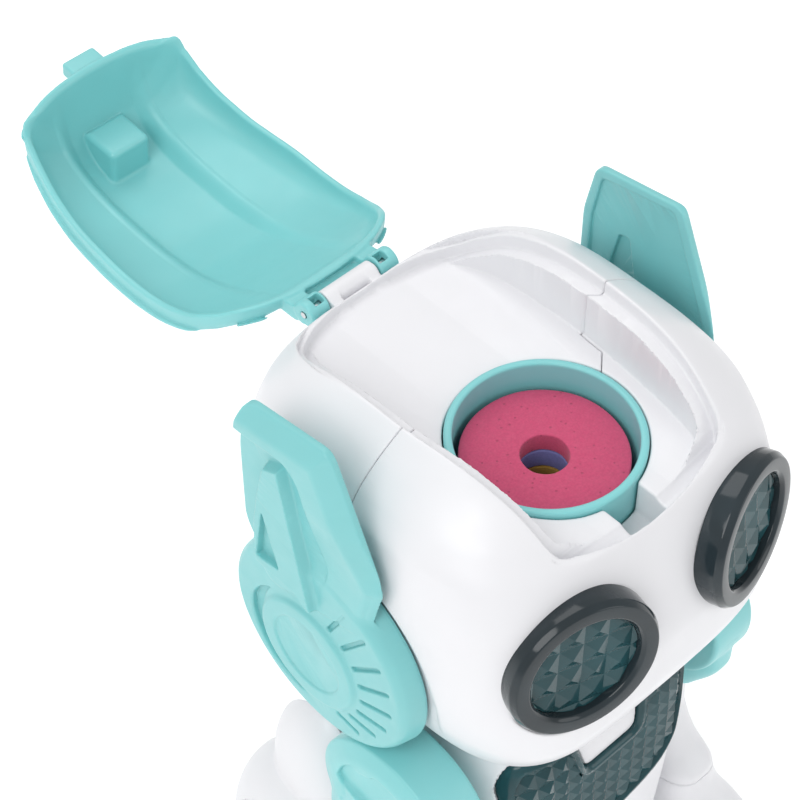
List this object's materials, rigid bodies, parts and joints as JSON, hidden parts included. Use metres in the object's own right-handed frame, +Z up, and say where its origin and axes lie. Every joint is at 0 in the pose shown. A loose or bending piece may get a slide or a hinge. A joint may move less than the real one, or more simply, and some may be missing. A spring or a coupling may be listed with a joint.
{
  "type": "robot dog toy",
  "caption": "Sitting robot dog toy that launches foam discs, with a hinged lid over the disc magazine in its head, upright ears and smoked eyes.",
  "frame": {"origin": "middle of the bounding box's base, on the floor, with the lid open", "axes": "+Z up, -Y the way the dog faces, +X its own left"},
  "size_m": [0.1236, 0.2112, 0.2152],
  "materials": {
    "white_shell": "glossy",
    "mint_shell": "satin gloss",
    "smoked_ring": "high gloss, smoked",
    "smoked_lens": "high gloss, smoked teal, faceted",
    "foam_pink": "fine closed-cell foam",
    "foam_lavender": "fine closed-cell foam",
    "foam_yellow": "fine closed-cell foam",
    "foam_purple": "fine closed-cell foam",
    "steel": "drawn pin",
    "motor_can": "pressed can",
    "circuit_board": "solder mask",
    "dark_plastic": "fine texture",
    "nylon_gear": "unpainted nylon",
    "rubber": "matte",
    "battery_wrap": "shrink wrap"
  },
  "bodies": {
    "dog": {"base_plate": "dark_plastic", "battery_door": "dark_plastic", "battery_pack": "battery_wrap", "chest_light_board": "circuit_board", "chest_panel": "smoked_lens", "drive_motor_left": "motor_can", "drive_motor_right": "motor_can", "ear_left": "mint_shell", "ear_right": "mint_shell", "eye_lens_left": "smoked_lens", "eye_lens_right": "smoked_lens", "eye_light_board_left": "circuit_board", "eye_light_board_right": "circuit_board", "eye_ring_left": "smoked_ring", "eye_ring_right": "smoked_ring", "feed_motor": "motor_can", "foam_disc_01": "foam_pink", "foam_disc_02": "foam_lavender", "foam_disc_03": "foam_yellow", "foam_disc_04": "foam_purple", "foam_disc_05": "foam_pink", "foam_disc_06": "foam_lavender", "foam_disc_07": "foam_yellow", "foam_disc_08": "foam_purple", "foam_disc_09": "foam_pink", "foam_disc_10": "foam_lavender", "foam_disc_11": "foam_yellow", "haunch_left": "white_shell", "haunch_right": "white_shell", "head_shell_front": "white_shell", "head_shell_rear": "white_shell", "launch_motor": "motor_can", "lid_hinge_pin": "steel", "magazine_tube": "mint_shell", "main_board": "circuit_board", "neck_collar": "dark_plastic", "rear_foot_left": "mint_shell", "rear_foot_right": "mint_shell", "speaker": "dark_plastic", "torso_shell_front": "white_shell", "torso_shell_rear": "white_shell"},
    "lid": {"lid": "mint_shell"},
    "flywheel": {"launch_flywheel": "rubber"},
    "pusher": {"disc_pusher": "nylon_gear"},
    "pinion": {"feed_pinion": "nylon_gear"},
    "wheel_right": {"drive_wheel_right": "rubber"},
    "wheel_left": {"drive_wheel_left": "rubber"},
    "roller": {"front_roller": "nylon_gear"},
    "switch": {"power_switch": "rubber"},
    "tail": {"tail": "mint_shell"},
    "foreleg_right": {"upper_foreleg_right": "mint_shell", "foreleg_right": "white_shell"},
    "foreleg_left": {"upper_foreleg_left": "mint_shell", "foreleg_left": "white_shell"}
  },
  "joints": [
    {"name": "lid_hinge", "type": "hinge", "parent": "dog", "child": "lid", "pos_m": [0, 0.00577, 0.1883], "axis": [1, 0, 0], "range_deg": [0, 175]},
    {"name": "flywheel_spin", "type": "hinge", "parent": "dog", "child": "flywheel", "pos_m": [0.0254, -0.06483, 0.1202], "axis": [0, 0, 1], "continuous": true},
    {"name": "pusher_slide", "type": "slide", "parent": "dog", "child": "pusher", "axis": [0, 1, 0], "range_m": [0, 0.0212]},
    {"name": "pinion_turn", "type": "hinge", "parent": "dog", "child": "pinion", "pos_m": [-0.0176, -0.03183, 0.12], "axis": [0, 0, 1], "range_deg": [0, 243.5]},
    {"name": "wheel_right_spin", "type": "hinge", "parent": "dog", "child": "wheel_right", "pos_m": [-0.024, -0.04383, 0.012], "axis": [-1, 0, 0], "continuous": true},
    {"name": "wheel_left_spin", "type": "hinge", "parent": "dog", "child": "wheel_left", "pos_m": [0.024, -0.04383, 0.012], "axis": [-1, 0, 0], "continuous": true},
    {"name": "roller_spin", "type": "hinge", "parent": "dog", "child": "roller", "pos_m": [0, -0.06883, 0.006], "axis": [-1, 0, 0], "continuous": true},
    {"name": "switch_slide", "type": "slide", "parent": "dog", "child": "switch", "axis": [1, 0, 0], "range_m": [0, 0.007]},
    {"name": "tail_wag", "type": "hinge", "parent": "dog", "child": "tail", "pos_m": [0, -0.00733, 0.04], "axis": [0, 0, 1], "range_deg": [-20, 20]},
    {"name": "foreleg_right_lift", "type": "hinge", "parent": "dog", "child": "foreleg_right", "pos_m": [-0.0385, -0.06283, 0.098], "axis": [-1, 0, 0], "range_deg": [0, 60]},
    {"name": "foreleg_left_lift", "type": "hinge", "parent": "dog", "child": "foreleg_left", "pos_m": [0.0385, -0.06283, 0.098], "axis": [-1, 0, 0], "range_deg": [0, 60]}
  ],
  "couplings": [
    {"joint": "pinion_turn", "follows": "pusher_slide", "rad_per_m": 200}
  ]
}
